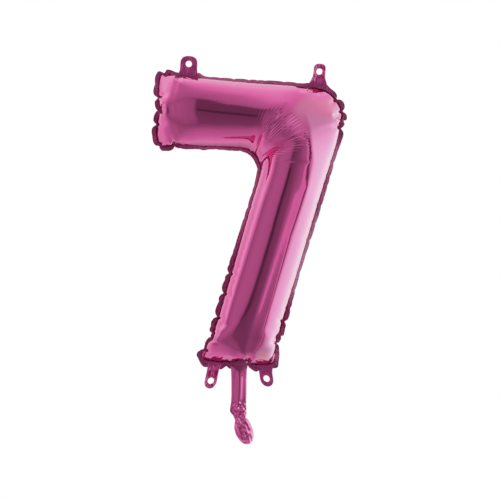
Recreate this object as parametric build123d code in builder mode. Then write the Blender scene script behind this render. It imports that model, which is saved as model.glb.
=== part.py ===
"""Foil number balloon, digit 7, hung by two punched tabs. Millimetres, +Z up, front towards -Y.

Two foil sheets lie face to face in the XZ plane and are heat-sealed round a 7-shaped chamber, which
the air swells. The seal leaves a flat flange, four punched hanging tabs and a filling neck whose end
hangs from a fold. Two thin valve films run up the neck into the chamber. The origin is midway between
the holes of the two top tabs.

Each sheet of foil is drawn 0.42 mm thick, because the real film is about 0.04 mm.
"""

import os
from math import cos, pi, radians, sin, tan

from build123d import *

# --- Driving dimensions --------------------------------------------------------------------------
FOIL = 0.42  # one sheet of foil
FLANGE = 5.5  # heat-sealed border outside the seam

# The seam line round the inflated chamber, in the XZ plane.
ARM_LEFT = -110.0
ARM_TOP_LEFT = -17.0  # height of the top seam at its left end
ARM_TOP_RIGHT = -20.0  # and at the outer corner
ARM_BOTTOM = -97.0
BOTTOM = -353.0
OUTER_CORNER_X = 119.6  # where the top and right seams would meet
INNER_CORNER_X = 21.5  # where the arm's lower seam and the leg's left seam would meet
RIGHT_SLANT = 13.6  # of the right seam, in degrees from vertical
LEFT_SLANT = 13.9
OUTER_RADIUS = 42.0
INNER_RADIUS = 26.0

# How far the chamber swells to each side of the seam.
HALF_DEPTH = 38.0
ELBOW_HALF_DEPTH = 47.0
END_LENGTH = 48.0  # over which each end swells to the full depth
END_ANGLES = (2, 10, 22, 36, 52, 70, 90)  # of the elliptic swell, from the end seam inwards, in degrees
ELBOW_SECTIONS = 10

# Hanging tabs, each hinged along the flange by a crease.
TAB_CORNER = 4.0
HOLE_RADIUS = 3.75
TAB_BEYOND_HOLE = 9.5  # from the hole's centre to the tab's end
TOP_HOLE_X = 78.4  # either side of the origin
BOTTOM_CREASE_Z = -358.0
CREASE_GAP = 0.6  # from a tab's crease to the foil on each side of it
TABS = {  # hole's centre (X, Z), height of the crease, width
    "tab_top_left": ((-TOP_HOLE_X, 0.0), -12.2, 19.0),
    "tab_top_right": ((TOP_HOLE_X, 0.0), -14.3, 19.0),
    "tab_bottom_left": ((-29.7, -378.0), BOTTOM_CREASE_Z, 15.5),
    "tab_bottom_right": ((37.0, -371.5), BOTTOM_CREASE_Z, 15.5),
}

# Filling neck, and the tail that hangs from its fold.
NECK_X = 2.8  # where the neck leaves the bottom flange
NECK_LEAN = 3.4  # degrees from straight down, towards +X
NECK_HALF_WIDTH = 9.5
NECK_SEAL = 1.5  # sealed strip along each side
NECK_LENGTH = 48.0  # from its crease to the fold
FOLD_GAP = 1.1  # from the neck's crease, or its fold, to the foil on each side of it
# Sections of the neck and tail: share of the length, half-width, half-depth.
NECK_SHAPE = ((0.0, 9.5, 0.9), (0.2, 9.5, 1.8), (0.5, 9.5, 2.6), (0.8, 9.3, 1.8), (1.0, 8.5, 0.7))
TAIL_SHAPE = ((0.0, 8.5, 0.7), (0.2, 8.5, 2.6), (0.5, 10.5, 5.0), (0.8, 9.5, 4.4), (1.0, 5.0, 1.0))
THROAT_HALF_DEPTH = 0.8  # of the flat channel through the flange
TAIL_LEAN = 18.5
TAIL_LENGTH = 46.0

# Valve films, sealed to the foil inside the neck and loose inside the chamber.
VALVE_FILM = 0.12
VALVE_GAP = 0.02  # half the gap between the two films
VALVE_WIDTH = 13.0
VALVE_TOP = 64.0  # above the neck's crease
VALVE_BOTTOM = 36.0  # below it

os.makedirs("parts", exist_ok=True)


# --- The seam line -------------------------------------------------------------------------------
def leg_x(corner_x, corner_z, slant, z):
    """X of a slanted leg seam at height z."""
    return corner_x + (z - corner_z) * tan(radians(slant))


BOTTOM_RIGHT_X = leg_x(OUTER_CORNER_X, ARM_TOP_RIGHT, RIGHT_SLANT, BOTTOM)
BOTTOM_LEFT_X = leg_x(INNER_CORNER_X, ARM_BOTTOM, LEFT_SLANT, BOTTOM)

OUTER_CORNERS = ((ARM_LEFT, ARM_TOP_LEFT), (OUTER_CORNER_X, ARM_TOP_RIGHT), (BOTTOM_RIGHT_X, BOTTOM))
INNER_CORNERS = ((ARM_LEFT, ARM_BOTTOM), (INNER_CORNER_X, ARM_BOTTOM), (BOTTOM_LEFT_X, BOTTOM))

with BuildLine() as outer_side:  # drawn in XY: x is the balloon's X and y its Z
    FilletPolyline(*OUTER_CORNERS, radius=OUTER_RADIUS)
with BuildLine() as inner_side:
    FilletPolyline(*INNER_CORNERS, radius=INNER_RADIUS)

OUTER_WIRE = outer_side.wire()
INNER_WIRE = inner_side.wire()
INNER_ARM, INNER_BEND, INNER_LEG = (edge.length for edge in INNER_WIRE.edges())
ELBOW_START_X = ARM_LEFT + INNER_ARM
ELBOW_END_Z = BOTTOM + INNER_LEG * cos(radians(LEFT_SLANT))
FRONT_VIEW = Plane(origin=(0, 0, 0), x_dir=(1, 0, 0), z_dir=(0, -1, 0))  # sketch x is X, sketch y is Z


def seam_point(wire, distance):
    """The seam's X and Z at a distance along one side, from the left end of the arm."""
    point = wire.position_at(distance, position_mode=PositionMode.LENGTH)
    return Vector(point.X, 0, point.Y)


def arm_pair(x):
    """Points of the lower and upper seams of the arm at one X."""
    rise = (ARM_TOP_RIGHT - ARM_TOP_LEFT) / (OUTER_CORNER_X - ARM_LEFT)
    return Vector(x, 0, ARM_BOTTOM), Vector(x, 0, ARM_TOP_LEFT + rise * (x - ARM_LEFT))


def leg_pair(z):
    """Points of the left and right seams of the leg at one height."""
    left = leg_x(INNER_CORNER_X, ARM_BOTTOM, LEFT_SLANT, z)
    right = leg_x(OUTER_CORNER_X, ARM_TOP_RIGHT, RIGHT_SLANT, z)
    return Vector(left, 0, z), Vector(right, 0, z)


def elbow_pair(share):
    """Points of the inner and outer seams at a share of the way round the elbow."""
    outer_start = ELBOW_START_X - ARM_LEFT
    outer_end = OUTER_WIRE.length - (ELBOW_END_Z - BOTTOM) / cos(radians(RIGHT_SLANT))
    inner = seam_point(INNER_WIRE, INNER_ARM + share * INNER_BEND)
    outer = seam_point(OUTER_WIRE, outer_start + share * (outer_end - outer_start))
    return inner, outer


# --- The swollen chamber, as a ruled loft of ellipses between the seam's two sides ---------------
def end_steps(inset):
    """Distance from an end seam and share of the full depth, for each section of the elliptic swell."""
    for angle in END_ANGLES:
        yield inset + (END_LENGTH - inset) * (1 - cos(radians(angle))), sin(radians(angle))


def chamber_stations(inset):
    """(inner and outer point, half-depth) of each section, from the arm's end seam to the leg's."""
    depth = HALF_DEPTH - inset
    stations = [(arm_pair(ARM_LEFT + distance), depth * share) for distance, share in end_steps(inset)]
    for i in range(ELBOW_SECTIONS + 1):
        share = i / ELBOW_SECTIONS
        swell = (ELBOW_HALF_DEPTH - HALF_DEPTH) * sin(pi * share) ** 2
        stations.append((elbow_pair(share), depth + swell))
    leg_end = [(leg_pair(BOTTOM + distance), depth * share) for distance, share in end_steps(inset)]
    return stations + leg_end[::-1]


def chamber(inset):
    """The solid inside the chamber's outer surface, or inside its inner surface with inset=FOIL."""
    stations = chamber_stations(inset)
    middle_station = len(stations) // 2
    with BuildPart() as swollen:
        for stretch in (stations[: middle_station + 1], stations[middle_station:]):
            for (inner, outer), half_depth in stretch:
                across = (outer - inner).normalized()
                section = Plane((inner + outer) / 2, x_dir=across, z_dir=across.cross(Vector(0, 1, 0)))
                with BuildSketch(section):
                    Ellipse((outer - inner).length / 2 - inset, half_depth)
            loft(ruled=True)
    return swollen.part


# --- Shared steps --------------------------------------------------------------------------------
def down(start, lean, distance):
    """The point at a depth below start along a line that leans from straight down."""
    return start + Vector(tan(radians(lean)), 0, -1) * distance


def lens_tube(start, lean, length, shape):
    """A flattened tube of two foils, from sections of (share of length, half-width, half-depth)."""
    with BuildPart() as tube:
        for seal, wall, mode in ((0, 0, Mode.ADD), (NECK_SEAL, FOIL, Mode.SUBTRACT)):
            for share, half_width, half_depth in shape:
                with BuildSketch(Plane(down(start, lean, FOLD_GAP + share * (length - 2 * FOLD_GAP)))):
                    Ellipse(half_width - seal, half_depth - wall)
            loft(mode=mode)
    return tube.part


def write_half(whole, name, keep):
    """Write the half of a two-foil part in front of the XZ plane (Keep.TOP) or behind it."""
    with BuildPart() as half:
        add(whole)
        split(bisect_by=FRONT_VIEW, keep=keep)
    half.part.label = name
    export_step(half.part, f"parts/{name}.step")


def write_halves(whole, front_name, back_name):
    """Write a two-foil part as its front and back foils."""
    write_half(whole, front_name, Keep.TOP)
    write_half(whole, back_name, Keep.BOTTOM)


NECK_CREASE = Vector(NECK_X, 0, BOTTOM_CREASE_Z)
NECK_FOLD = down(NECK_CREASE, NECK_LEAN, NECK_LENGTH)
THROAT_HEIGHT = BOTTOM - BOTTOM_CREASE_Z - FOLD_GAP

# --- Envelope ------------------------------------------------------------------------------------
with BuildPart() as envelope:
    with BuildSketch(FRONT_VIEW):
        with BuildLine():
            add(OUTER_WIRE)
            add(INNER_WIRE)
            Line((ARM_LEFT, ARM_TOP_LEFT), (ARM_LEFT, ARM_BOTTOM))
            Line((BOTTOM_RIGHT_X, BOTTOM), (BOTTOM_LEFT_X, BOTTOM))
        make_face()
        offset(amount=FLANGE, kind=Kind.ARC)
    extrude(amount=FOIL, both=True)
    add(chamber(0))
    # Straight edges where the tabs and the neck crease.
    for hole, crease_z, width in TABS.values():
        outwards = 1 if hole[1] > crease_z else -1
        with Locations((hole[0], 0, crease_z + outwards * (FLANGE / 2 - CREASE_GAP))):
            Box(width + FLANGE, 2 * FLANGE, FLANGE, mode=Mode.SUBTRACT)
    with Locations((NECK_X, 0, BOTTOM_CREASE_Z + FOLD_GAP - FLANGE / 2)):
        Box(2 * NECK_HALF_WIDTH + FLANGE, 2 * FLANGE, FLANGE, mode=Mode.SUBTRACT)
    # The flat throat by which the neck opens into the chamber.
    with Locations((NECK_X, 0, BOTTOM - THROAT_HEIGHT / 2)):
        Box(2 * NECK_HALF_WIDTH, 2 * THROAT_HALF_DEPTH, THROAT_HEIGHT)
        throat_width = 2 * (NECK_HALF_WIDTH - NECK_SEAL)
        Box(throat_width, 2 * (THROAT_HALF_DEPTH - FOIL), 2 * THROAT_HEIGHT, mode=Mode.SUBTRACT)
    add(chamber(FOIL), mode=Mode.SUBTRACT)
write_halves(envelope.part, "front_foil", "back_foil")

# --- Hanging tabs --------------------------------------------------------------------------------
for tab_name, (hole, crease_z, width) in TABS.items():
    outwards = 1 if hole[1] > crease_z else -1
    tab_root = crease_z + outwards * CREASE_GAP
    tab_end = hole[1] + outwards * TAB_BEYOND_HOLE
    with BuildPart() as tab:
        with BuildSketch(FRONT_VIEW) as tab_outline:
            with Locations((hole[0], (tab_root + tab_end) / 2)):
                Rectangle(width, abs(tab_end - tab_root))
            corners = tab_outline.vertices().sort_by(Axis.Y, reverse=outwards > 0)[:2]
            fillet(corners, TAB_CORNER)
            with Locations(hole):
                Circle(HOLE_RADIUS, mode=Mode.SUBTRACT)
        extrude(amount=FOIL, both=True)
    write_halves(tab.part, f"{tab_name}_front_ply", f"{tab_name}_back_ply")

# --- Filling neck and its tail -------------------------------------------------------------------
neck = lens_tube(NECK_CREASE, NECK_LEAN, NECK_LENGTH, NECK_SHAPE)
write_halves(neck, "neck_front_foil", "neck_back_foil")

tail = lens_tube(NECK_FOLD, TAIL_LEAN, TAIL_LENGTH, TAIL_SHAPE)
write_halves(tail, "neck_end_front_foil", "neck_end_back_foil")

# --- Valve films ---------------------------------------------------------------------------------
film_bottom = down(NECK_CREASE, NECK_LEAN, VALVE_BOTTOM)
for film_name, side in (("valve_front_film", -1), ("valve_back_film", 1)):
    with BuildPart() as film:
        with BuildSketch(Plane(film_bottom)):
            with Locations((0, side * (VALVE_GAP + VALVE_FILM / 2))):
                Rectangle(VALVE_WIDTH, VALVE_FILM)
        extrude(amount=VALVE_TOP + VALVE_BOTTOM, dir=(-tan(radians(NECK_LEAN)), 0, 1))
    film.part.label = film_name
    export_step(film.part, f"parts/{film_name}.step")
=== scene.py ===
"""Looks of the foil number balloon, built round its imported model.

Lengths are in millimetres until a mesh is made, and angles are in degrees unless a name says otherwise.
"""

import math

import bpy
import numpy as np
from mathutils import Matrix, Vector


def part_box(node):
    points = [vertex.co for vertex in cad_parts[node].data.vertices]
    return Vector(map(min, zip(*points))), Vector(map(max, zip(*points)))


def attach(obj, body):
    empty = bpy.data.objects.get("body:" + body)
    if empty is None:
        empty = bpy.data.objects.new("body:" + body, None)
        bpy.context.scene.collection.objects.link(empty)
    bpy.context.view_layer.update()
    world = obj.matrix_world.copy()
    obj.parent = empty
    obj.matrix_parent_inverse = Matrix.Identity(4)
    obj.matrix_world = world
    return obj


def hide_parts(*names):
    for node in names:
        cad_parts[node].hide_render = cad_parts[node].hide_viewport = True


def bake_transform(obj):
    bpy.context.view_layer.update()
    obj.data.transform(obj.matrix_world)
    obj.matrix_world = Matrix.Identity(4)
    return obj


MM = 0.001
SEED = 7

# --- Camera --------------------------------------------------------------------------------------
VIEW_WIDTH = 600.0  # seen at the balloon's plane
VIEW_CENTRE = (8.0, 0.0, -218.6)
VIEW_ROLL = 3.38  # degrees: the balloon hangs a little askew
LENS = 90.0
SENSOR_WIDTH = 36.0
FLOOR_Z = -650.0
FLOOR_SIZE = 8000.0

# --- Flat cut pattern of the chamber, before the air goes in --------------------------------------
CORNER = (130.0, -5.0)  # where the top and right seams would meet, X and Z
ARM_RISE = 26.0  # of the top seam, towards its left end; the air pulls the arm down to level
ARM_UNDER_RISE = 34.0  # of the arm's lower seam
ARM_LENGTH = 242.0
ARM_WIDTH = 128.0  # at the elbow
LEG_SLANT = 13.8
LEG_UNDER_SLANT = 9.5
LEG_LENGTH = 352.0
LEG_WIDTH = 133.0
OUTER_RADIUS = 38.0
INNER_RADIUS = 30.0
ARM_END_BULGE = 6.0
LEG_END_BULGE = 7.0
CORNER_CUT = 14.0  # how far the rounded end corners draw back
CORNER_POWER = 3.0
END_REACH = 60.0
OUTER_EVENING = 3200.0  # how far the spacing of points along a side is evened out, in square millimetres
INNER_EVENING = 960.0
SEAL_WIDTH = 6.0
SEAL_CELLS = 3
CELL = 3.0
FRAMES = 28
PRESSURE = 5.0
SIM_UNIT = 0.01  # simulation units in a millimetre
PUFF = 0.6  # of each sheet off the middle plane before the air goes in
CLOTH = {
    "quality": 5,
    "mass": 0.1,
    "tension_stiffness": 80,
    "compression_stiffness": 80,
    "shear_stiffness": 40,
    "bending_stiffness": 0.5,
    "tension_damping": 5,
    "compression_damping": 5,
    "shear_damping": 5,
    "bending_damping": 0.5,
    "air_damping": 2.0,
    "use_pressure": True,
    "uniform_pressure_force": PRESSURE,
    "vertex_group_pressure": "pressed",
}
# The inflated seven is turned and moved to hang where the frame has it.
HANG_TURN = 6.22
HANG_SHIFT = (-3.6, -37.9)

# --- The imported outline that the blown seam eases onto: its corners, X and Z ------------------------
SEAM_OUTER = ((-110.0, -17.0), (119.6, -20.0), (39.0, -353.0))
SEAM_INNER = ((-110.0, -97.0), (21.5, -97.0), (-36.4, -351.5))
SEAM_OUTER_RADIUS = 42.0
SEAM_INNER_RADIUS = 26.0
EASE = 10.0  # length along the seam over which the easing is evened out
SEAM_LEVEL = 0.6  # share of the seam's fore and aft waver that is taken out
ROOT_REACH = 18.0  # of the level stretch of seam round each tab and the neck

# Half-depths by share of the way along the stroke.
HALF_DEPTHS = ((0.0, 36.5), (0.2, 38.0), (0.38, 47.0), (0.55, 42.0), (0.8, 38.5), (1.0, 37.0))
END_KEPT = 60.0  # length at each closing end whose depth is not evened

# --- Heat-sealed border ----------------------------------------------------------------------------
BORDER = 5.5
BORDER_ROWS = 4
BORDER_WAVE = 0.9
BORDER_TILT = (10.0, 50.0)  # least and most turned back from the front
WEB = 0.6  # share by which the border widens in the corners beside each tab and the neck
WEB_REACH = 4.2
NECK_ROOT = 22.0  # its width
CALM_REACH = 16.0  # of the straight stretch of border round each tab and the neck
WAVE_REACH = 5.0  # length over which the border's small wave is evened out
TILT_REACH = 22.0
SPREAD_REACH = 20.0  # of the border that a pucker flattens and widens
PLY = 0.12  # from the seal's middle to each panel

# --- Puckers where the seam gathers: X, Z, strength, length -----------------------------------------
PUCKERS = (
    (-112, -43, 1.0, 17),
    (-112, -75, 1.0, 17),
    (-106, -16, 0.9, 14),
    (-106, -99, 0.9, 14),
    (-90, -99, 0.6, 10),
    (107, -27, 0.8, 12),
    (110, -46, 0.9, 12),
    (110, -67, 0.8, 12),
    (-15, -248, 0.6, 8),
    (-20, -272, 0.7, 9),
    (-27, -301, 0.8, 9),
    (-32, -322, 0.7, 9),
    (-38, -343, 0.7, 9),
    (51, -301, 0.6, 8),
    (45, -328, 0.7, 8),
    (12, -353, 0.8, 12),
    (-12, -353, 0.6, 10),
    (28, -353, 0.5, 9),
)
PUCKER_WIDTH = 2.6
PUCKER_PULL = 2.6
BORDER_NOTCH = 4.5
SMALL_PUCKER_GAPS = (8.0, 24.0)
SMALL_PUCKERS = (0.03, 0.22)
SMALL_PUCKER_LENGTHS = (5.0, 11.0)
PUCKER_START = -4.0  # how far outside the seam a groove begins
PUCKER_FADE = 6.0  # length over which its pull dies away
PUCKER_FLATTENING = 0.22

# --- Where the blown mesh's folds are smoothed out: centre, reach, rounds ------------------------------
SMOOTHED = (
    ((30.0, -88.0), 42.0, 80),
    ((-24.0, -320.0), 26.0, 24),
    ((42.0, -325.0), 24.0, 24),
)

# --- The creases and gathers that take up the slack inside the elbow ----------------------------------
# Corners (X, Z) of each crease, its depth (a ridge is negative), its width, and the taper to its ends.
CREASES = (
    (((19, -88), (28, -68), (42, -42)), 1.5, 3.2, 16.0),
    (((27, -99), (42, -90), (64, -78)), 1.4, 3.2, 16.0),
    (((34, -113), (50, -112), (72, -112)), 1.2, 2.8, 12.0),
    (((62, -45), (71, -75), (76, -112), (70, -150), (58, -200)), -1.2, 7.0, 60.0),
)
GATHER_ROWS = 3
GATHERS = 0.42  # height of the fine gathers across the stroke
GATHER_REGION = ((46.0, -74.0), 32.0)  # centre and reach
GATHER_ACROSS = (0.40, 0.76)  # shares of the way from the outer seam to the inner one
GATHER_FADE = 0.08

# --- Tabs: hole's centre (X, Z), height of the crease, width, and how the foil is held ----------------
TABS = {
    "tab_top_left": dict(
        hole=(-78.4, 0.0), crease=-12.2, width=20.5, tip=2.5, lean=0.0, curl=0.0, crinkle=0.6
    ),
    "tab_top_right": dict(
        hole=(78.4, 0.0), crease=-14.3, width=19.0, tip=2.3, lean=0.05, curl=7.5, crinkle=1.3
    ),
    "tab_bottom_left": dict(
        hole=(-29.7, -378.0), crease=-358.0, width=14.5, tip=2.1, lean=-0.16, curl=0.0, crinkle=2.2
    ),
    "tab_bottom_right": dict(
        hole=(37.0, -371.5), crease=-358.0, width=16.0, tip=2.1, lean=0.2, curl=0.0, crinkle=0.5
    ),
}
TAB_HOLE = 3.75
TAB_END = 9.5  # beyond the hole's centre
TAB_TUCK = 2.6  # of border that the tab's root covers
TAB_PLY = 0.32
TAB_FLARE = 2.4  # each side, where the tab leaves the border
TAB_RINGS = 12
CRINKLE_STRETCH = (1.5, 0.7)  # streaks run down the tab
CRINKLE_SIZE = 7.0
CRINKLE_WAVES = 7
TAB_FREE = 8.0  # length above the border over which a tab becomes free to curl
ROOT_SQUARENESS = 9.0
TAB_SPOKES = 72

# --- Filling neck ----------------------------------------------------------------------------------
NECK_TOP = (2.8, -354.0)
NECK_LEAN = 3.4
NECK_CREASE = -358.0
NECK_JOIN = 31.0  # from the neck's top to where the two neck pieces meet
FOLD = (5.65, -406.0)
TAIL_LEAN = 18.5
# Distance down the neck, shift to the right, half-width, half-depth.
NECK_SECTIONS = (
    (0, 0, 11.5, 0.4), (4, 0, 10.4, 0.5), (9, 0, 9.6, 2.0), (20, 0, 9.3, 3.5), (38, 0, 9.2, 3.3),
    (48, -0.4, 9.2, 2.2), (56, -2.2, 10.2, 1.9), (62, -1.6, 8.2, 2.0), (68, -2.2, 6.9, 2.2),
    (71, -2.2, 8.6, 3.0), (76, -2.4, 10.2, 3.8), (84, -2.0, 10.8, 4.3), (92, -1.4, 9.2, 3.8),
    (97, -1.0, 6.0, 2.6), (99.5, -0.8, 1.6, 0.9),
)
LOBE = 83.0  # distance down the neck of the middle of its rolled end
LOBE_STRETCH = 1.5
LOBE_PITCH = 4.4  # between the roll's wrinkles
NECK_STEP = 0.8
NECK_SPOKES = 72

# --- Valve strips --------------------------------------------------------------------------------------
STRIP_WIDTH = 13.0
STRIP_DEPTH = 0.03  # of each strip off the middle plane
STRIP_ROWS = 81
STRIP_COLUMNS = 9


def mesh_object(name, vertices, faces):
    """An object from millimetre vertices."""
    mesh = bpy.data.meshes.new(name)
    mesh.from_pydata((np.asarray(vertices, float) * MM).tolist(), [], [list(map(int, f)) for f in faces])
    mesh.update()
    piece = bpy.data.objects.new(name, mesh)
    bpy.context.scene.collection.objects.link(piece)
    mesh.polygons.foreach_set("use_smooth", [True] * len(mesh.polygons))
    return piece


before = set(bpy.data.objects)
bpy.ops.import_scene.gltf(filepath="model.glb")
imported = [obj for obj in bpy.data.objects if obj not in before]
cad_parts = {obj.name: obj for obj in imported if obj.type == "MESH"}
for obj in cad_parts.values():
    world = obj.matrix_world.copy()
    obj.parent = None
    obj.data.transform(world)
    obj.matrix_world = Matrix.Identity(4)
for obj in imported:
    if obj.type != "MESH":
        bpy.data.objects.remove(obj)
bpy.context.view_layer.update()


# --- Stage ---------------------------------------------------------------------------------------
def add_camera():
    camera = bpy.data.objects.new("camera", bpy.data.cameras.new("camera"))
    bpy.context.scene.collection.objects.link(camera)
    camera.data.lens = LENS
    camera.data.sensor_width = SENSOR_WIDTH
    distance = VIEW_WIDTH * LENS / SENSOR_WIDTH
    centre = Vector(VIEW_CENTRE)
    roll = math.radians(VIEW_ROLL)
    right = Vector((math.cos(roll), 0, math.sin(roll)))
    up = Vector((-math.sin(roll), 0, math.cos(roll)))
    back = Vector((0, -1, 0))
    turn = Matrix((right, up, back)).transposed().to_4x4()
    camera.matrix_world = Matrix.Translation((centre + back * distance) * MM) @ turn
    bpy.context.scene.camera = camera


add_camera()


class Shader:
    """Short calls for building a node tree."""

    def __init__(self, tree):
        self.tree = tree
        self.tree.nodes.clear()

    def node(self, kind, inputs=None, **settings):
        node = self.tree.nodes.new(kind)
        for key, value in settings.items():
            setattr(node, key, value)
        for key, value in (inputs or {}).items():
            self.put(node.inputs[key], value)
        return node

    def put(self, socket, value):
        if isinstance(value, bpy.types.NodeSocket):
            self.tree.links.new(value, socket)
        else:
            socket.default_value = value

    def math(self, operation, *values):
        node = self.node("ShaderNodeMath", operation=operation)
        for socket, value in zip(node.inputs, values):
            self.put(socket, value)
        return node.outputs[0]

    def vector(self, operation, first, second):
        """A vector operation; a scaling takes its factor second."""
        node = self.node("ShaderNodeVectorMath", {0: first}, operation=operation)
        self.put(node.inputs["Scale" if operation == "SCALE" else 1], second)
        return node.outputs[0]

    def ramp(self, value, low, high, to_low=0.0, to_high=1.0, smooth=True):
        kind = "SMOOTHSTEP" if smooth else "LINEAR"
        node = self.node("ShaderNodeMapRange", interpolation_type=kind, clamp=True)
        for socket, number in zip(node.inputs[:5], (value, low, high, to_low, to_high)):
            self.put(socket, number)
        return node.outputs[0]


# Light that the foil sees, by the bearing it looks along: 0 is towards the camera, + to its right.
# Degrees, brightness, and how far it is whitened against the foil's own tint.
SIDE_LIGHT = (
    (-180, 0.4, 0), (-168, 0.7, 0), (-155, 0.88, 0), (-100, 0.86, 0), (-79, 0.7, 0), (-74, 0.32, 0),
    (-66, 0.42, 0), (-45, 0.5, 0), (-24, 0.46, 0), (-16, 0.36, 0), (-12, 0.12, 0), (-8, 0.05, 0),
    (-4, 0.18, 0), (12, 0.26, 0), (34, 0.46, 0), (37, 0.8, 0), (39, 0.8, 0), (41, 0.12, 0),
    (44, 0.16, 0), (46, 0.66, 0.2), (60, 0.95, 0.9), (75, 0.97, 1.5), (100, 1.0, 2.1),
    (125, 1.1, 2.2), (152, 1.0, 1.0), (168, 0.7, 0.1), (180, 0.4, 0),
)
# The same by height: 0 is level, + upwards, beyond 90 behind the balloon.
HEIGHT_LIGHT = (
    (-180, 0.3, 0), (-150, 0.45, 0), (-120, 0.8, 0.3), (-90, 0.66, 0), (-65, 0.5, 0),
    (-40, 0.22, 0), (-5, 0.17, 0), (0, 0.08, 0), (3, 0.07, 0), (6, 0.15, 0), (32, 0.17, 0),
    (37, 0.42, 0), (60, 0.62, 0), (75, 0.82, 0.1), (90, 0.9, 0.3), (110, 0.96, 0.7),
    (140, 0.9, 0.6), (160, 0.6, 0.2), (180, 0.3, 0),
)
WHITENED_GREEN = 1.0
WHITENED_BLUE = 0.28
BRIGHTEST = 5.0


def add_profile(s, angle, stops):
    """Light by angle, from a list of degrees, brightness and whitening."""
    node = s.node("ShaderNodeValToRGB", {0: s.ramp(angle, -180.0, 180.0, smooth=False)})
    elements = node.color_ramp.elements
    while len(elements) < len(stops):
        elements.new(0.5)
    for element, (degrees, brightness, whitening) in zip(elements, stops):
        red = brightness / BRIGHTEST
        green = red * (1 + WHITENED_GREEN * whitening)
        blue = red * (1 + WHITENED_BLUE * whitening)
        element.position = (degrees + 180) / 360
        element.color = (red, green, blue, 1)
    return node.outputs[0]


def add_world():
    """A tent seen as plain white, whose reflections are bright at the sides and dark to the front."""
    world = bpy.data.worlds.new("studio")
    bpy.context.scene.world = world
    world.use_nodes = True
    s = Shader(world.node_tree)
    coords = s.node("ShaderNodeTexCoord").outputs["Generated"]
    split = s.node("ShaderNodeSeparateXYZ", {0: coords})
    x, y, z = split.outputs
    towards = s.math("MULTIPLY", y, -1.0)
    side = s.math("MULTIPLY", s.math("ARCTAN2", x, towards), 180 / math.pi)
    height = s.math("MULTIPLY", s.math("ARCTAN2", z, towards), 180 / math.pi)
    level = s.math("SUBTRACT", 1.0, s.math("POWER", s.math("ABSOLUTE", z), 3.0))
    from_side = s.vector("SCALE", add_profile(s, side, SIDE_LIGHT), level)
    light = s.vector("MAXIMUM", from_side, add_profile(s, height, HEIGHT_LIGHT))
    seen = s.node("ShaderNodeBackground", {0: (1, 1, 1, 1), 1: 1.0})
    tent = s.node("ShaderNodeBackground", {0: light, 1: BRIGHTEST})
    camera_ray = s.node("ShaderNodeLightPath").outputs["Is Camera Ray"]
    mixed = s.node("ShaderNodeMixShader", {0: camera_ray, 1: tent.outputs[0], 2: seen.outputs[0]})
    s.node("ShaderNodeOutputWorld", {0: mixed.outputs[0]})


add_world()
bpy.context.scene.view_settings.view_transform = "Standard"


# --- Foil materials ----------------------------------------------------------------------------------
FOIL_COLOUR = (0.82, 0.09, 0.39, 1)
EDGE_COLOUR = (0.95, 0.45, 0.7, 1)  # seen glancingly
FOIL_COAT = 0.9
SEAL_COAT = 0.3
COAT_IOR = 1.6
COAT_ROUGHNESS = 0.03


def add_skin(s, colour, roughness, coat, normal):
    """Tinted metallised film under its clear outer layer."""
    inputs = {
        "Base Color": colour,
        "Metallic": 1.0,
        "Roughness": roughness,
        "Coat Weight": coat,
        "Coat IOR": COAT_IOR,
        "Coat Roughness": COAT_ROUGHNESS,
        "Specular Tint": EDGE_COLOUR,
        "Normal": normal,
        "Coat Normal": normal,
    }
    skin = s.node("ShaderNodeBsdfPrincipled", inputs)
    s.node("ShaderNodeOutputMaterial", {0: skin.outputs[0]})


def new_material(name):
    material = bpy.data.materials.new(name)
    material.use_nodes = True
    return material, Shader(material.node_tree)


def foil_material():
    """Taut foil: nearly a mirror, with faint rolling waves and fine scuffs."""
    material, s = new_material("magenta_foil")
    place = s.node("ShaderNodeTexCoord").outputs["Object"]
    rolling = s.node("ShaderNodeTexNoise", {"Vector": place, "Scale": 60.0, "Detail": 2.0}).outputs[0]
    scuffs = s.node("ShaderNodeTexNoise", {"Vector": place, "Scale": 900.0, "Detail": 3.0}).outputs[0]
    bump = s.node("ShaderNodeBump", {"Height": rolling, "Strength": 0.15, "Distance": 0.0006})
    roughness = s.ramp(scuffs, 0.3, 0.7, 0.03, 0.07)
    add_skin(s, FOIL_COLOUR, roughness, FOIL_COAT, bump.outputs[0])
    return material


def seal_material(name, colour, roughness, knurling, crumpling):
    """Heat-sealed foil, pressed with a fine knurl."""
    material, s = new_material(name)
    place = s.node("ShaderNodeTexCoord").outputs["Object"]
    knurl = s.node("ShaderNodeTexVoronoi", {"Vector": place, "Scale": 1100.0}, feature="F1").outputs[0]
    crumple = s.node("ShaderNodeTexNoise", {"Vector": place, "Scale": 350.0, "Detail": 3.0}).outputs[0]
    fine = s.node("ShaderNodeBump", {"Height": knurl, "Strength": knurling, "Distance": 0.0006}).outputs[0]
    inputs = {"Height": crumple, "Strength": crumpling, "Distance": 0.0016, "Normal": fine}
    coarse = s.node("ShaderNodeBump", inputs).outputs[0]
    add_skin(s, colour, roughness, SEAL_COAT, coarse)
    return material


def film_material():
    """Clear polyethylene film."""
    material, s = new_material("clear_film")
    inputs = {"Base Color": (0.9, 0.9, 0.93, 1), "Roughness": 0.15, "Alpha": 0.5}
    skin = s.node("ShaderNodeBsdfPrincipled", inputs)
    s.node("ShaderNodeOutputMaterial", {0: skin.outputs[0]})
    return material


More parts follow.
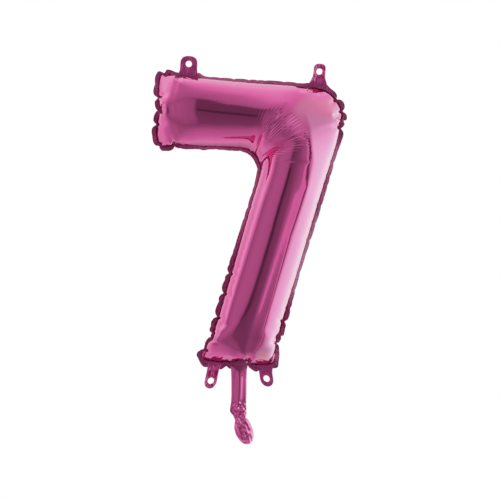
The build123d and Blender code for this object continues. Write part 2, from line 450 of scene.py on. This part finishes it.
# --- The chamber: a flat pattern, blown up ---------------------------------------------------------
def rounded(points, radius):
    """A dense line through three points, with its middle corner rounded."""
    start, corner, end = (np.array(p, float) for p in points)
    u, v = start - corner, end - corner
    u, v = u / np.linalg.norm(u), v / np.linalg.norm(v)
    half = math.acos(u @ v) / 2
    middle = corner + (u + v) / np.linalg.norm(u + v) * radius / math.sin(half)
    first, last = (corner + w * radius / math.tan(half) - middle for w in (u, v))
    a = math.atan2(first[1], first[0])
    sweep = (math.atan2(last[1], last[0]) - a + math.pi) % (2 * math.pi) - math.pi
    angles = a + sweep * np.linspace(0, 1, 25)
    arc = middle + radius * np.stack([np.cos(angles), np.sin(angles)], 1)
    return np.concatenate([[start], arc, [end]])


def lengths(line):
    return np.concatenate([[0], np.cumsum(np.linalg.norm(np.diff(line, axis=0), axis=1))])


def at(line, distances):
    run = lengths(line)
    return np.stack([np.interp(distances, run, line[:, k]) for k in (0, 1)], 1)


def nearest(line, point):
    """Distance along the line of its point nearest to a point."""
    run = lengths(line)
    fine = np.linspace(0, run[-1], 4000)
    return fine[np.argmin(np.linalg.norm(at(line, fine) - point, axis=1))]


def evened(values, rounds):
    values = values.copy()
    for _ in range(rounds):
        values[1:-1] = 0.5 * values[1:-1] + 0.25 * (values[:-2] + values[2:])
    return values


def leftwards(rise):
    """Unit vector to the left, rising by an angle."""
    return np.array([-math.cos(math.radians(rise)), math.sin(math.radians(rise))])


def downwards(slant):
    """Unit vector down, slanting to the left by an angle."""
    return np.array([-math.sin(math.radians(slant)), -math.cos(math.radians(slant))])


ARM, ARM_UNDER, ARM_IN = leftwards(ARM_RISE), leftwards(ARM_UNDER_RISE), downwards(ARM_RISE)
LEG, LEG_UNDER, LEG_IN = downwards(LEG_SLANT), downwards(LEG_UNDER_SLANT), leftwards(LEG_SLANT)


def pattern_sides():
    """The outer and inner seams of the cut pattern, from the arm's end to the leg's foot."""
    outer_corner = np.array(CORNER)
    across = LEG_IN * LEG_WIDTH - ARM_IN * ARM_WIDTH
    step, _ = np.linalg.solve(np.array([ARM, -LEG]).T, across)
    inner_corner = outer_corner + ARM_IN * ARM_WIDTH + step * ARM
    top_left = outer_corner + ARM * ARM_LENGTH
    bottom_left = inner_corner + ARM_UNDER * (((top_left - inner_corner) @ ARM) / (ARM_UNDER @ ARM))
    foot_right = outer_corner + LEG * LEG_LENGTH
    foot_left = inner_corner + LEG_UNDER * ((foot_right[1] - inner_corner[1]) / LEG_UNDER[1])
    outer = rounded((top_left, outer_corner, foot_right), OUTER_RADIUS)
    inner = rounded((bottom_left, inner_corner, foot_left), INNER_RADIUS)
    return outer, inner


def paired_points(outer, inner):
    """Points along both sides, in pairs that face each other across the stroke."""
    outer_marks = [
        0,
        nearest(outer, inner[1] - ARM_IN * ARM_WIDTH),
        nearest(outer, np.array(CORNER)),
        nearest(outer, inner[-2] - LEG_IN * LEG_WIDTH),
        lengths(outer)[-1],
    ]
    bend = lengths(inner)[[1, -2]]
    inner_marks = [0, bend[0], bend.mean(), bend[1], lengths(inner)[-1]]
    outer_steps, inner_steps = [], []
    for k in range(4):
        reach_outer = outer_marks[k + 1] - outer_marks[k]
        reach_inner = inner_marks[k + 1] - inner_marks[k]
        count = round((0.6 * reach_outer + 0.4 * reach_inner) / CELL)
        shares = np.arange(count) / count
        outer_steps.extend(outer_marks[k] + shares * reach_outer)
        inner_steps.extend(inner_marks[k] + shares * reach_inner)
    outer_steps = evened(np.array(outer_steps + [outer_marks[-1]]), round(OUTER_EVENING / CELL**2))
    inner_steps = evened(np.array(inner_steps + [inner_marks[-1]]), round(INNER_EVENING / CELL**2))
    return at(outer, outer_steps), at(inner, inner_steps)


def flat_pattern():
    """The cut foil as a grid of points: along the stroke, then across it, seal and all."""
    outer, inner = paired_points(*pattern_sides())
    across = np.linspace(0, 1, 2 * round(ARM_WIDTH / CELL / 2) + 1)
    v = across[None, :, None]
    grid = outer[:, None] * (1 - v) + inner[:, None] * v
    bulge = np.sin(np.pi * across)
    cut = 1 - (1 - np.abs(2 * across - 1) ** CORNER_POWER) ** (1 / CORNER_POWER)
    from_arm_end = np.arange(len(grid)) * CELL
    arm_share = np.clip(1 - from_arm_end / END_REACH, 0, 1)[:, None]
    leg_share = arm_share[::-1]
    grid += (arm_share * (ARM_END_BULGE * bulge - CORNER_CUT * cut))[..., None] * ARM
    grid += (leg_share * (LEG_END_BULGE * bulge - CORNER_CUT * cut))[..., None] * LEG
    return with_seal(grid)


def with_seal(grid):
    """The grid with rows for the heat-sealed border on all four sides."""
    steps = SEAL_WIDTH * np.arange(1, SEAL_CELLS + 1) / SEAL_CELLS

    def outwards(edge, inside):
        along = np.gradient(edge, axis=0)
        normal = np.stack([-along[:, 1], along[:, 0]], 1)
        normal /= np.linalg.norm(normal, axis=1)[:, None]
        return normal * np.sign(((edge - inside) * normal).sum(1).mean())

    first, last = outwards(grid[0], grid[1]), outwards(grid[-1], grid[-2])
    before = [grid[0] + first * s for s in steps[::-1]]
    after = [grid[-1] + last * s for s in steps]
    grid = np.concatenate([before, grid, after])
    first, last = outwards(grid[:, 0], grid[:, 1]), outwards(grid[:, -1], grid[:, -2])
    before = np.stack([grid[:, 0] + first * s for s in steps[::-1]], 1)
    after = np.stack([grid[:, -1] + last * s for s in steps], 1)
    return np.concatenate([before, grid, after], 1)


def grid_faces(index, mask):
    quads = np.stack([index[:-1, :-1], index[1:, :-1], index[1:, 1:], index[:-1, 1:]], -1)
    return quads[mask]


def sewn_sheets(grid):
    """Two flat sheets joined at the seal: points, faces, the points under pressure, both index grids."""
    rows, columns = grid.shape[:2]
    count = rows * columns
    seal = SEAL_CELLS
    inside = np.zeros((rows, columns), bool)
    inside[seal + 1 : rows - seal - 1, seal + 1 : columns - seal - 1] = True
    front = np.arange(count).reshape(rows, columns)
    back = front.copy()
    back[inside] = count + np.arange(inside.sum())
    points = np.zeros((count + inside.sum(), 3))
    points[:count, [0, 2]] = grid.reshape(-1, 2)
    points[count:, [0, 2]] = grid[inside]
    points[front[inside], 1] = -PUFF
    points[back[inside], 1] = PUFF
    chamber = np.zeros((rows - 1, columns - 1), bool)
    chamber[seal : rows - 1 - seal, seal : columns - 1 - seal] = True
    faces = [grid_faces(front, chamber), grid_faces(back, chamber)[:, ::-1], grid_faces(front, ~chamber)]
    faces = np.concatenate(faces)
    a, b, c = points[faces[0][:3]]
    if np.cross(b - a, c - a)[1] > 0:
        faces = faces[:, ::-1]
    pressed = np.union1d(front[seal : rows - seal, seal : columns - seal], back[inside])
    return points, faces, pressed, front, back


def add_cloth(balloon):
    """Thin film under air pressure, without gravity."""
    cloth = balloon.modifiers.new("cloth", "CLOTH")
    for key, value in CLOTH.items():
        setattr(cloth.settings, key, value)
    cloth.settings.effector_weights.gravity = 0
    cloth.collision_settings.use_collision = False
    cloth.point_cache.frame_end = FRAMES


def blown_points(balloon):
    """The balloon's points once the cloth has run, in millimetres."""
    scene = bpy.context.scene
    for number in range(1, FRAMES + 1):
        scene.frame_set(number)
    blown = balloon.evaluated_get(bpy.context.evaluated_depsgraph_get()).data
    points = np.empty(len(blown.vertices) * 3)
    blown.vertices.foreach_get("co", points)
    scene.frame_set(1)
    return points.reshape(-1, 3) / SIM_UNIT


def hung(points):
    """The blown points, turned and moved to where the balloon hangs."""
    turn = math.radians(HANG_TURN)
    x = points[:, 0] * math.cos(turn) - points[:, 2] * math.sin(turn) + HANG_SHIFT[0]
    z = points[:, 0] * math.sin(turn) + points[:, 2] * math.cos(turn) + HANG_SHIFT[1]
    return np.stack([x, points[:, 1], z], 1)


def inflate(grid):
    """Blow the pattern up as cloth under pressure. Returns the front and back panels' points."""
    points, faces, pressed, front, back = sewn_sheets(grid)
    mesh = bpy.data.meshes.new("blown")
    mesh.from_pydata((points * SIM_UNIT).tolist(), [], faces.tolist())
    balloon = bpy.data.objects.new("blown", mesh)
    bpy.context.scene.collection.objects.link(balloon)
    balloon.vertex_groups.new(name="pressed").add(pressed.tolist(), 1.0, "REPLACE")
    add_cloth(balloon)
    points = hung(blown_points(balloon))
    bpy.data.objects.remove(balloon)
    return points[front], points[back]


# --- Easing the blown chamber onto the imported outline, and the puckers of its seam ---------------------
def finer(points, axes):
    """The grid with a smooth new row, or column, between every two."""
    for axis in axes:
        points = np.moveaxis(points, axis, 0)
        padded = np.concatenate([2 * points[:1] - points[1:2], points, 2 * points[-1:] - points[-2:-1]])
        between = (9 * (padded[1:-2] + padded[2:-1]) - padded[:-3] - padded[3:]) / 16
        result = np.empty((2 * len(points) - 1,) + points.shape[1:])
        result[::2] = points
        result[1::2] = between
        points = np.moveaxis(result, 0, axis)
    return points


def ring_index(rows, columns):
    """Row and column of each point round a grid's edge, clockwise seen from the front."""
    outer = [(i, 0) for i in range(rows)]
    foot = [(rows - 1, j) for j in range(1, columns)]
    inner = [(i, columns - 1) for i in range(rows - 2, -1, -1)]
    end = [(0, j) for j in range(columns - 2, 0, -1)]
    return np.array(outer + foot + inner + end)


def round_and_round(values, spacing, reach):
    """Values round a closed ring, evened over a distance."""
    count = len(values)
    offsets = np.fft.fftfreq(count) * count * spacing
    weights = np.exp(-0.5 * (offsets / reach) ** 2)
    spectrum = np.fft.fft(weights / weights.sum())
    shape = (count,) + (1,) * (values.ndim - 1)
    return np.fft.ifft(np.fft.fft(values, axis=0) * spectrum.reshape(shape), axis=0).real


def nearest_on(outline, points):
    """The closest point of a closed outline to each point."""
    start, end = outline, np.roll(outline, -1, axis=0)
    along = end - start
    share = ((points[:, None] - start) * along).sum(-1) / np.maximum((along**2).sum(-1), 1e-9)
    feet = start + np.clip(share, 0, 1)[..., None] * along
    best = np.linalg.norm(points[:, None] - feet, axis=-1).argmin(1)
    return feet[np.arange(len(points)), best]


def near_roots(flat):
    """How near points are to where a tab or the neck leaves the seam, from 0 to 1."""
    roots = [(tab["hole"][0], tab["crease"]) for tab in TABS.values()] + [(NECK_TOP[0], NECK_CREASE)]
    away = np.min([np.linalg.norm(flat - root, axis=-1) for root in roots], axis=0)
    return np.exp(-((away / ROOT_REACH) ** 4))


def ease(front, back):
    """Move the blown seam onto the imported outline, and carry the surface with it."""
    rows, columns = front.shape[:2]
    ring = ring_index(rows, columns)
    seam = front[ring[:, 0], ring[:, 1]]
    outer = rounded(SEAM_OUTER, SEAM_OUTER_RADIUS)
    inner = rounded(SEAM_INNER, SEAM_INNER_RADIUS)
    outline = np.concatenate([outer, inner[::-1]])
    flat = seam[:, [0, 2]]
    spacing = np.linalg.norm(np.diff(flat, axis=0), axis=1).mean()
    shift = round_and_round(nearest_on(outline, flat) - flat, spacing, EASE)
    level = SEAM_LEVEL + (1 - SEAM_LEVEL) * near_roots(flat)
    moves = np.stack([shift[:, 0], -level * seam[:, 1], shift[:, 1]], 1)
    edge = np.zeros((rows, columns, 3))
    edge[ring[:, 0], ring[:, 1]] = moves
    u = np.linspace(0, 1, rows)[:, None, None]
    v = np.linspace(0, 1, columns)[None, :, None]
    across = edge[:, :1] * (1 - v) + edge[:, -1:] * v
    along = edge[:1] * (1 - u) + edge[-1:] * u
    corners = (edge[:1, :1] * (1 - v) + edge[:1, -1:] * v) * (1 - u)
    corners = corners + (edge[-1:, :1] * (1 - v) + edge[-1:, -1:] * v) * u
    move = across + along - corners
    return front + move, back + move


class Seam:
    """The closed seam line and the directions across it."""

    def __init__(self, front):
        self.ring = ring_index(*front.shape[:2])
        self.refresh(front)

    def refresh(self, front):
        self.points = front[self.ring[:, 0], self.ring[:, 1]]
        steps = np.linalg.norm(np.roll(self.points, -1, axis=0) - self.points, axis=1)
        self.run = np.concatenate([[0], np.cumsum(steps)[:-1]])
        self.length = steps.sum()
        flat = round_and_round(self.points[:, [0, 2]], steps.mean(), 4.0)
        along = np.roll(flat, -1, axis=0) - np.roll(flat, 1, axis=0)
        outwards = np.stack([-along[:, 1], along[:, 0]], 1)
        self.outwards = outwards / np.linalg.norm(outwards, axis=1)[:, None]

    def near(self, x, z):
        return np.linalg.norm(self.points[:, [0, 2]] - (x, z), axis=1).argmin()

    def distance(self, index):
        """Distance along the seam of every point from one of them."""
        gap = np.abs(self.run - self.run[index])
        return np.minimum(gap, self.length - gap)


def all_puckers(seam):
    """Seam index, strength and length of every pucker, the small ones scattered between the named ones."""
    puckers = [(seam.near(x, z), strength, length) for x, z, strength, length in PUCKERS]
    rng = np.random.default_rng(SEED)
    place = 0.0
    while place < seam.length - SMALL_PUCKER_GAPS[0]:
        place += rng.uniform(*SMALL_PUCKER_GAPS)
        strength = rng.uniform(*SMALL_PUCKERS)
        length = rng.uniform(*SMALL_PUCKER_LENGTHS)
        puckers.append((np.abs(seam.run - place).argmin(), strength, length))
    return puckers


def pucker(front, back, seam):
    """Gather the seam at each pucker: a notch, and a groove running in from it.

    Returns how far each point of the seam is gathered.
    """
    gather = np.zeros(len(seam.points))
    for index, strength, length in all_puckers(seam):
        inwards = -seam.outwards[index]
        start = seam.points[index][[0, 2]]
        gather = np.maximum(gather, strength * np.exp(-((seam.distance(index) / BORDER_NOTCH) ** 2)))
        for sheet in (front, back):
            offset = sheet[..., [0, 2]] - start
            reach = offset @ inwards
            aside = offset @ np.array([-inwards[1], inwards[0]])
            width = PUCKER_WIDTH * (0.7 + 0.06 * np.clip(reach, 0, 20))
            groove = strength * np.exp(-((aside / width) ** 2)) * np.clip(1 - reach / length, 0, 1) ** 1.3
            groove = np.where((reach > PUCKER_START) & (reach < length), groove, 0)
            pull = PUCKER_PULL * groove * np.exp(-np.clip(reach, 0, None) / PUCKER_FADE)
            sheet[..., 0] += inwards[0] * pull
            sheet[..., 2] += inwards[1] * pull
            sheet[..., 1] *= 1 - PUCKER_FLATTENING * groove
    return gather


def relax(sheet, centre, reach, rounds):
    """Smooth the sheet about a place."""
    away = np.linalg.norm(sheet[..., [0, 2]] - centre, axis=-1)
    share = (0.9 * np.clip(1.6 - away / reach, 0, 1))[1:-1, 1:-1, None]
    for _ in range(rounds):
        mean = (sheet[:-2, 1:-1] + sheet[2:, 1:-1] + sheet[1:-1, :-2] + sheet[1:-1, 2:]) / 4
        sheet[1:-1, 1:-1] += share * (mean - sheet[1:-1, 1:-1])


def closest(points, a, b):
    """The closest point of the stretch from a to b to each point."""
    share = np.clip((points - a) @ (b - a) / ((b - a) @ (b - a)), 0, 1)
    return a + share[:, None] * (b - a)


def off_line(points, line):
    """Distance of points from a line through several corners."""
    corners = np.array(line, float)
    shape = points.shape[:-1]
    feet = [closest(points.reshape(-1, 2), a, b) for a, b in zip(corners[:-1], corners[1:])]
    return np.min([np.linalg.norm(points.reshape(-1, 2) - f, axis=1) for f in feet], axis=0).reshape(shape)


def crease_elbow(sheet, side, seed):
    """Press the elbow's creases and fine gathers into a smooth sheet."""
    rows, columns = sheet.shape[:2]
    flat = sheet[..., [0, 2]]
    down = np.gradient(sheet, axis=0)
    over = np.gradient(sheet, axis=1)
    normal = np.cross(down, over)
    normal /= np.linalg.norm(normal, axis=-1, keepdims=True) + 1e-9
    normal *= np.sign(normal[..., 1:2]) * side
    inset = np.zeros((rows, columns))
    for line, depth, width, taper in CREASES:
        to_ends = np.min([np.linalg.norm(flat - end, axis=-1) for end in (line[0], line[-1])], axis=0)
        inset += depth * np.exp(-off_line(flat, line) / width) * np.clip(to_ends / taper, 0, 1)
    rng = np.random.default_rng(seed)
    signs = np.where(np.arange(rows) // GATHER_ROWS % 2, 1.0, -1.0)
    gathers = signs * rng.uniform(0.4, 1.0, rows) * GATHERS
    centre, reach = GATHER_REGION
    near = np.exp(-((np.linalg.norm(flat - centre, axis=-1) / reach) ** 4))
    v = np.linspace(0, 1, columns)
    first, last = GATHER_ACROSS
    window = np.clip((v - first) / GATHER_FADE, 0, 1) * np.clip((last - v) / GATHER_FADE, 0, 1)
    inset += gathers[:, None] * window * near
    inset *= np.clip(2.2 * np.abs(normal[..., 1]) - 0.8, 0, 1)
    edge = np.clip(np.minimum(v, 1 - v) * columns / 3, 0, 1)
    sheet -= normal * (inset * edge)[..., None]


def even_depth(front, back):
    """Swell each cross-section to its packed half-depth, apart from the closing ends."""
    rows = len(front)
    spacing = np.linalg.norm(np.diff(front[:, front.shape[1] // 2], axis=0), axis=1)
    run = np.concatenate([[0], np.cumsum(spacing)])
    depth = np.maximum(np.abs(front[..., 1]).max(1), np.abs(back[..., 1]).max(1))
    places, depths = np.array(HALF_DEPTHS).T
    wanted = np.interp(run, places * run[-1], depths)
    factor = wanted / depth
    first, last = np.searchsorted(run, (END_KEPT, run[-1] - END_KEPT))
    factor[:first], factor[last:] = factor[first], factor[last]
    factor = evened(factor, rows)[:, None]
    front[..., 1] *= factor
    back[..., 1] *= factor


def inflated_panels():
    """Front and back grids of the chamber in the frame, and its seam."""
    front, back = inflate(flat_pattern())
    chamber = slice(SEAL_CELLS, -SEAL_CELLS)
    front, back = (finer(sheet[chamber, chamber], (0, 0, 1)) for sheet in (front, back))
    front, back = ease(front, back)
    even_depth(front, back)
    for sheet, side in ((front, -1), (back, 1)):
        for centre, reach, rounds in SMOOTHED:
            relax(sheet, centre, reach, rounds)
        crease_elbow(sheet, side, SEED + side)
    seam = Seam(front)
    gather = pucker(front, back, seam)
    seam.refresh(front)
    return front, back, seam, gather


def around_roots(seam):
    """How free the border is to waver, and how much it widens, beside the tabs and the neck."""
    calm = np.ones(len(seam.points))
    webs = np.ones(len(seam.points))
    for (x, z), root in [(tab["hole"], tab["width"]) for tab in TABS.values()] + [(NECK_TOP, NECK_ROOT)]:
        away = seam.distance(seam.near(x, z))
        calm *= 1 - np.exp(-((away / CALM_REACH) ** 4))
        webs += WEB * np.exp(-(((away - root / 2 - 1) / WEB_REACH) ** 2)) * np.abs(seam.outwards[:, 1])
    return calm, webs


def border_rows(seam, gather):
    """Rows of the sealed border outwards from the seam, the seam itself first."""
    rng = np.random.default_rng(SEED + 1)
    count = len(seam.points)
    spacing = seam.length / count
    wave = round_and_round(rng.normal(size=count), spacing, WAVE_REACH)
    wave *= BORDER_WAVE / np.abs(wave).max()
    lean = round_and_round(rng.normal(size=count), spacing, TILT_REACH)
    lean = (lean - lean.min()) / np.ptp(lean)
    calm, webs = around_roots(seam)
    spread = np.zeros(count)
    for x, z, _, _ in PUCKERS:
        spread = np.maximum(spread, np.exp(-((seam.distance(seam.near(x, z)) / SPREAD_REACH) ** 2)))
    tilt = np.radians(BORDER_TILT[0] + (BORDER_TILT[1] - BORDER_TILT[0]) * lean) * calm * (1 - spread)
    width = BORDER * webs * (1 + 0.2 * spread) * (1 - 0.5 * gather)
    seam_line = seam.points.copy()
    seam_line[:, 1] *= calm
    rows = [seam_line]
    for number in range(1, BORDER_ROWS + 1):
        share = number / BORDER_ROWS
        row = seam_line.copy()
        row[:, [0, 2]] += seam.outwards * (width * share * np.cos(tilt))[:, None]
        row[:, 1] += width * share * np.sin(tilt) + wave * share * calm
        rows.append(row)
    return rows


front_points, back_points, seam, gather = inflated_panels()
border = border_rows(seam, gather)
foil, film = foil_material(), film_material()
# The border's sealed foil is the foil's magenta darkened to about half: painted shade for the dimmer
# reflections of the turned-back, crinkled border.
sealed = seal_material("sealed_foil", (0.44, 0.05, 0.20, 1), 0.22, 0.6, 0.8)
tab_foil = seal_material("tab_foil", (0.78, 0.09, 0.37, 1), 0.1, 0.3, 0.35)


def border_faces(seam_line, start):
    """Faces of the sealed border, whose own points are numbered from a start."""
    count = len(seam_line)
    strips = [seam_line] + [start + number * count + np.arange(count) for number in range(BORDER_ROWS)]
    faces = [np.stack([a, np.roll(a, -1), np.roll(b, -1), b], 1) for a, b in zip(strips[:-1], strips[1:])]
    return np.concatenate(faces)


def add_panel(name, points, side, node):
    """One foil sheet: its half of the chamber and its ply of the sealed border."""
    rows, columns = points.shape[:2]
    points = points.copy()
    ring = seam.ring
    points[ring[:, 0], ring[:, 1]] = border[0]
    index = np.arange(rows * columns).reshape(rows, columns)
    chamber = grid_faces(index, np.ones((rows - 1, columns - 1), bool))
    edge = border_faces(index[ring[:, 0], ring[:, 1]], rows * columns)
    vertices = np.concatenate([points.reshape(-1, 3)] + border[1:])
    vertices[:, 1] += side * PLY

    def facing(faces):
        a, b, c = (vertices[faces[len(faces) // 2][k]] for k in range(3))
        return faces if np.cross(b - a, c - a)[1] * side > 0 else faces[:, ::-1]

    panel = mesh_object(name, vertices, np.concatenate([facing(chamber), facing(edge)]))
    panel.data.materials.append(foil)
    # The border takes the sealed foil, whose darkened colour is painted shade.
    panel.data.materials.append(sealed)
    slots = np.repeat([0, 1], [len(chamber), len(edge)])
    panel.data.polygons.foreach_set("material_index", slots)
    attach(panel, "envelope")
    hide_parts(node)


add_panel("front_panel", front_points, -1, "front_foil")
add_panel("back_panel", back_points, 1, "back_foil")


# --- Tabs --------------------------------------------------------------------------------------------
def crinkles(points, size, seed):
    """Smooth made-up unevenness between -1 and 1 at points of a plane."""
    rng = np.random.default_rng(seed)
    total = np.zeros(len(points))
    for _ in range(CRINKLE_WAVES):
        heading = rng.uniform(0, 2 * math.pi)
        pitch = size * rng.uniform(0.6, 1.6)
        wave = points @ np.array([math.cos(heading), math.sin(heading)]) / pitch * 2 * math.pi
        total += np.arcsin(np.sin(wave + rng.uniform(0, 6))) / CRINKLE_WAVES
    return total


def tab_cut(width, root, tip):
    """Rings of points from the tab's hole out to its edge, about the hole, its free end upwards."""
    angles = np.linspace(0, 2 * math.pi, TAB_SPOKES, endpoint=False)
    cosine, sine = np.cos(angles), np.sin(angles)
    reach = np.where(sine > 0, TAB_END, root)
    power = np.where(sine > 0, tip, ROOT_SQUARENESS)
    edge = (np.abs(cosine / (width / 2)) ** power + np.abs(sine / reach) ** power) ** (-1 / power)
    share = np.linspace(0, 1, TAB_RINGS)[:, None]
    radius = TAB_HOLE + (edge - TAB_HOLE) * share
    return np.stack([radius * cosine, radius * sine], -1).reshape(-1, 2)


def tab_held(flat, root, width, curl, crinkle, seed):
    """Where the flared, crinkled and curled foil brings the cut's points: sideways, and fore and aft."""
    above = flat[:, 1] + root
    loose = np.clip(above / TAB_TUCK - 0.8, 0, 1)
    bend = crinkles(flat * CRINKLE_STRETCH, CRINKLE_SIZE, seed) * crinkle * loose
    x = flat[:, 0] * (1 + 2 * TAB_FLARE / width * np.exp(-((above / (TAB_TUCK + 2)) ** 2)))
    if curl:
        free = np.clip((above - TAB_TUCK) / TAB_FREE, 0, 1)
        bend = bend - free * curl * (1 - np.cos(x / curl))
        x = x * (1 - free) + curl * np.sin(x / curl) * free
    return x, bend


def tab_faces():
    """Faces of a tab's two plies, then of its hole's rim and its outer rim."""
    count = TAB_RINGS * TAB_SPOKES
    spokes = np.arange(TAB_SPOKES)
    after = np.roll(spokes, -1)
    faces = []
    for ring in range(TAB_RINGS - 1):
        a, b = ring * TAB_SPOKES, (ring + 1) * TAB_SPOKES
        faces.append(np.stack([a + spokes, a + after, b + after, b + spokes], 1))
        faces.append(count + faces[-1][:, ::-1])
    last = count - TAB_SPOKES
    faces.append(np.stack([spokes, count + spokes, count + after, after], 1))
    faces.append(np.stack([last + spokes, last + after, count + last + after, count + last + spokes], 1))
    return np.concatenate(faces)


def add_tab(name, hole, crease, width, tip, lean, curl, crinkle):
    """A punched tab: two plies as one closed shell, its root sleeved over the border."""
    up = 1 if hole[1] > crease else -1
    root = abs(hole[1] - crease) + TAB_TUCK
    flat = tab_cut(width, root, tip)
    x, bend = tab_held(flat, root, width, curl, crinkle, len(name) + int(abs(hole[0])))
    rim = np.repeat([0.5] + [1.0] * (TAB_RINGS - 2) + [0.5], TAB_SPOKES)
    across = hole[0] + x + lean * flat[:, 1]
    height = hole[1] + up * flat[:, 1]
    plies = [np.stack([across, bend + side * TAB_PLY * rim, height], 1) for side in (-1, 1)]
    faces = tab_faces()
    tab = mesh_object(name, np.concatenate(plies), faces if up < 0 else faces[:, ::-1])
    tab.data.materials.append(tab_foil)
    smooth = tab.modifiers.new("smooth", "SUBSURF")
    smooth.levels = smooth.render_levels = 1
    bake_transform(tab)
    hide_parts(name + "_front_ply", name + "_back_ply")


for tab_name, tab in TABS.items():
    add_tab(tab_name, **tab)


# --- Neck ----------------------------------------------------------------------------------------------
def neck_heading(run):
    """Lean of the neck's centre line, in radians, at a distance down from its top."""
    fold_run = (NECK_TOP[1] - FOLD[1]) / math.cos(math.radians(NECK_LEAN))
    turn = np.clip((run - fold_run + 5) / 10, 0, 1)
    return np.radians(NECK_LEAN + (TAIL_LEAN - NECK_LEAN) * turn)


def neck_relief(aside, run):
    """How far the slack foil stands out: long folds down the neck, a crushed kink, and a rolled end."""
    neck = np.clip((run - 8) / 10, 0, 1) * np.clip((56 - run) / 8, 0, 1)
    kink = np.clip((run - 44) / 6, 0, 1) * np.clip((72 - run) / 4, 0, 1)
    roll = np.clip((run - 66) / 5, 0, 1)
    folds = 0.7 * np.cos(aside * 2 * math.pi / 11.0 + 0.9 + run * 0.02)
    spread = np.hypot(aside, (run - LOBE) / LOBE_STRETCH)
    rings = 0.9 * np.abs(np.sin(spread * math.pi / LOBE_PITCH))
    flat = np.stack([aside, np.full_like(aside, run)], 1)
    return neck * folds + 2.4 * kink * crinkles(flat, 7.0, 5) + roll * (rings + 2.0 * crinkles(flat, 6.0, 9))


def neck_rings(first, last):
    """Rings of points down the neck between two distances."""
    runs = np.linspace(first, last, round((last - first) / NECK_STEP) + 1)
    fine = np.linspace(0, last, 800)
    headings = neck_heading(fine)
    steps = np.diff(fine, prepend=0)
    path_x = NECK_TOP[0] + np.cumsum(np.sin(headings) * steps)
    path_z = NECK_TOP[1] - np.cumsum(np.cos(headings) * steps)
    stations, shifts, half_widths, half_depths = np.array(NECK_SECTIONS, float).T
    angles = np.linspace(0, 2 * math.pi, NECK_SPOKES, endpoint=False)
    lens = np.sin(angles) * np.abs(np.sin(angles)) ** 0.3
    rings = []
    for run in runs:
        heading = np.interp(run, fine, headings)
        half_depth = np.interp(run, stations, half_depths)
        aside = np.interp(run, stations, half_widths) * np.cos(angles)
        relief = neck_relief(aside + 30 * (lens > 0), run) * np.abs(lens) * min(1, half_depth / 1.5)
        depth = half_depth * lens + np.sign(lens) * relief
        aside = aside + np.interp(run, stations, shifts)
        x = np.interp(run, fine, path_x) + aside * math.cos(heading)
        z = np.interp(run, fine, path_z) + aside * math.sin(heading)
        rings.append(np.stack([x, -depth, z], 1))
    return np.array(rings)


def add_neck(name, first, last, nodes, closed):
    """A stretch of the neck between two distances down it, as one tube."""
    rings = neck_rings(first, last)
    count = len(rings)
    index = np.arange(count * NECK_SPOKES).reshape(count, NECK_SPOKES)
    following = np.roll(index, -1, axis=1)
    faces = np.stack([index[:-1], index[1:], following[1:], following[:-1]], -1).reshape(-1, 4)
    faces = faces.tolist()
    if closed:
        faces.append(index[-1][::-1].tolist())
    piece = mesh_object(name, rings.reshape(-1, 3), faces)
    piece.data.materials.append(foil)
    smooth = piece.modifiers.new("smooth", "SUBSURF")
    smooth.levels = smooth.render_levels = 1
    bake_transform(piece)
    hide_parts(*nodes)


neck_length = NECK_SECTIONS[-1][0]
upper_nodes = ("neck_front_foil", "neck_back_foil")
lower_nodes = ("neck_end_front_foil", "neck_end_back_foil")
add_neck("neck_upper", 0, NECK_JOIN, upper_nodes, closed=False)
add_neck("neck_lower", NECK_JOIN, neck_length, lower_nodes, closed=True)


# --- Valve films -----------------------------------------------------------------------------------------
def add_film(node):
    """A film strip up the neck and into the chamber, as a single sheet."""
    low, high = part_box(node)
    along = np.linspace(low[2], high[2], STRIP_ROWS) / MM
    aside = np.linspace(-STRIP_WIDTH / 2, STRIP_WIDTH / 2, STRIP_COLUMNS)
    z, offset = np.meshgrid(along, aside, indexing="ij")
    x = NECK_TOP[0] + (NECK_CREASE - z) * math.tan(math.radians(NECK_LEAN)) + offset
    y = np.full(z.shape, STRIP_DEPTH * np.sign(low[1] + high[1]))
    index = np.arange(z.size).reshape(z.shape)
    faces = grid_faces(index, np.ones((STRIP_ROWS - 1, STRIP_COLUMNS - 1), bool))
    strip = mesh_object(node.replace("_film", "_strip"), np.stack([x, y, z], -1).reshape(-1, 3), faces)
    strip.data.materials.append(film)
    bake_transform(strip)
    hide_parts(node)


add_film("valve_front_film")
add_film("valve_back_film")


# --- Floor ---------------------------------------------------------------------------------------------
def add_floor():
    """A plain white floor well below the hanging balloon; the foil sees the tent's own floor instead."""
    half = FLOOR_SIZE / 2
    corners = [(x * half, y * half, FLOOR_Z) for x, y in ((-1, -1), (1, -1), (1, 1), (-1, 1))]
    floor = mesh_object("floor", corners, [(0, 1, 2, 3)])
    material, s = new_material("floor")
    white = s.node("ShaderNodeEmission", {0: (1, 1, 1, 1), 1: 1.0})
    s.node("ShaderNodeOutputMaterial", {0: white.outputs[0]})
    floor.data.materials.append(material)
    floor.visible_glossy = False
    floor.visible_diffuse = False


add_floor()
